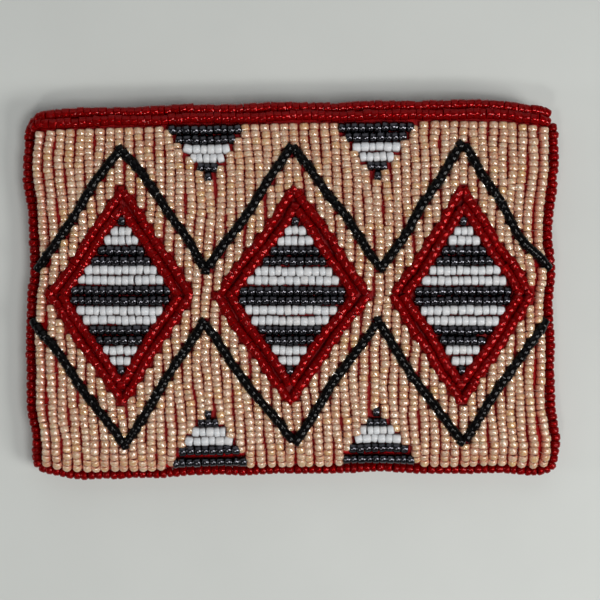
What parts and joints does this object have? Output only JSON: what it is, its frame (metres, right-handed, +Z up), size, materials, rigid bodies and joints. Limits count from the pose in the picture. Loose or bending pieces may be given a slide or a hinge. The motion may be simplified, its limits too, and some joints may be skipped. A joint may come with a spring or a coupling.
{
  "type": "beaded coin purse",
  "caption": "Flat rectangular coin purse of red cloth with a zipped mouth, its front covered in glass seed beads in a striped diamond design and edged with strings of red beads.",
  "frame": {"origin": "under the middle of the purse, on the surface that it lies on", "axes": "+X across the purse, +Y towards its mouth, +Z up out of its beaded front"},
  "size_m": [0.1198, 0.0845, 0.0108],
  "materials": {
    "red_cloth": "satin",
    "zip": "matte",
    "red_beads": "gloss",
    "tan_beads": "gloss",
    "striped_beads": "gloss",
    "black_beads": "gloss"
  },
  "bodies": {
    "root": {"front_cloth": "red_cloth", "back_cloth": "red_cloth", "zip": "zip", "ground_upper": "tan_beads", "ground_middle": "tan_beads", "ground_lower": "tan_beads", "zigzag_upper": "black_beads", "triangle_upper_left": "striped_beads", "triangle_upper_right": "striped_beads", "zigzag_lower": "black_beads", "triangle_lower_left": "striped_beads", "triangle_lower_right": "striped_beads", "diamond_left_outline": "red_beads", "diamond_left_stripes": "striped_beads", "diamond_middle_outline": "red_beads", "diamond_middle_stripes": "striped_beads", "diamond_right_outline": "red_beads", "diamond_right_stripes": "striped_beads", "mouth_rows": "red_beads", "left_edging": "red_beads", "right_edging": "red_beads", "bottom_edging": "red_beads", "mouth_edging": "red_beads"}
  },
  "joints": []
}
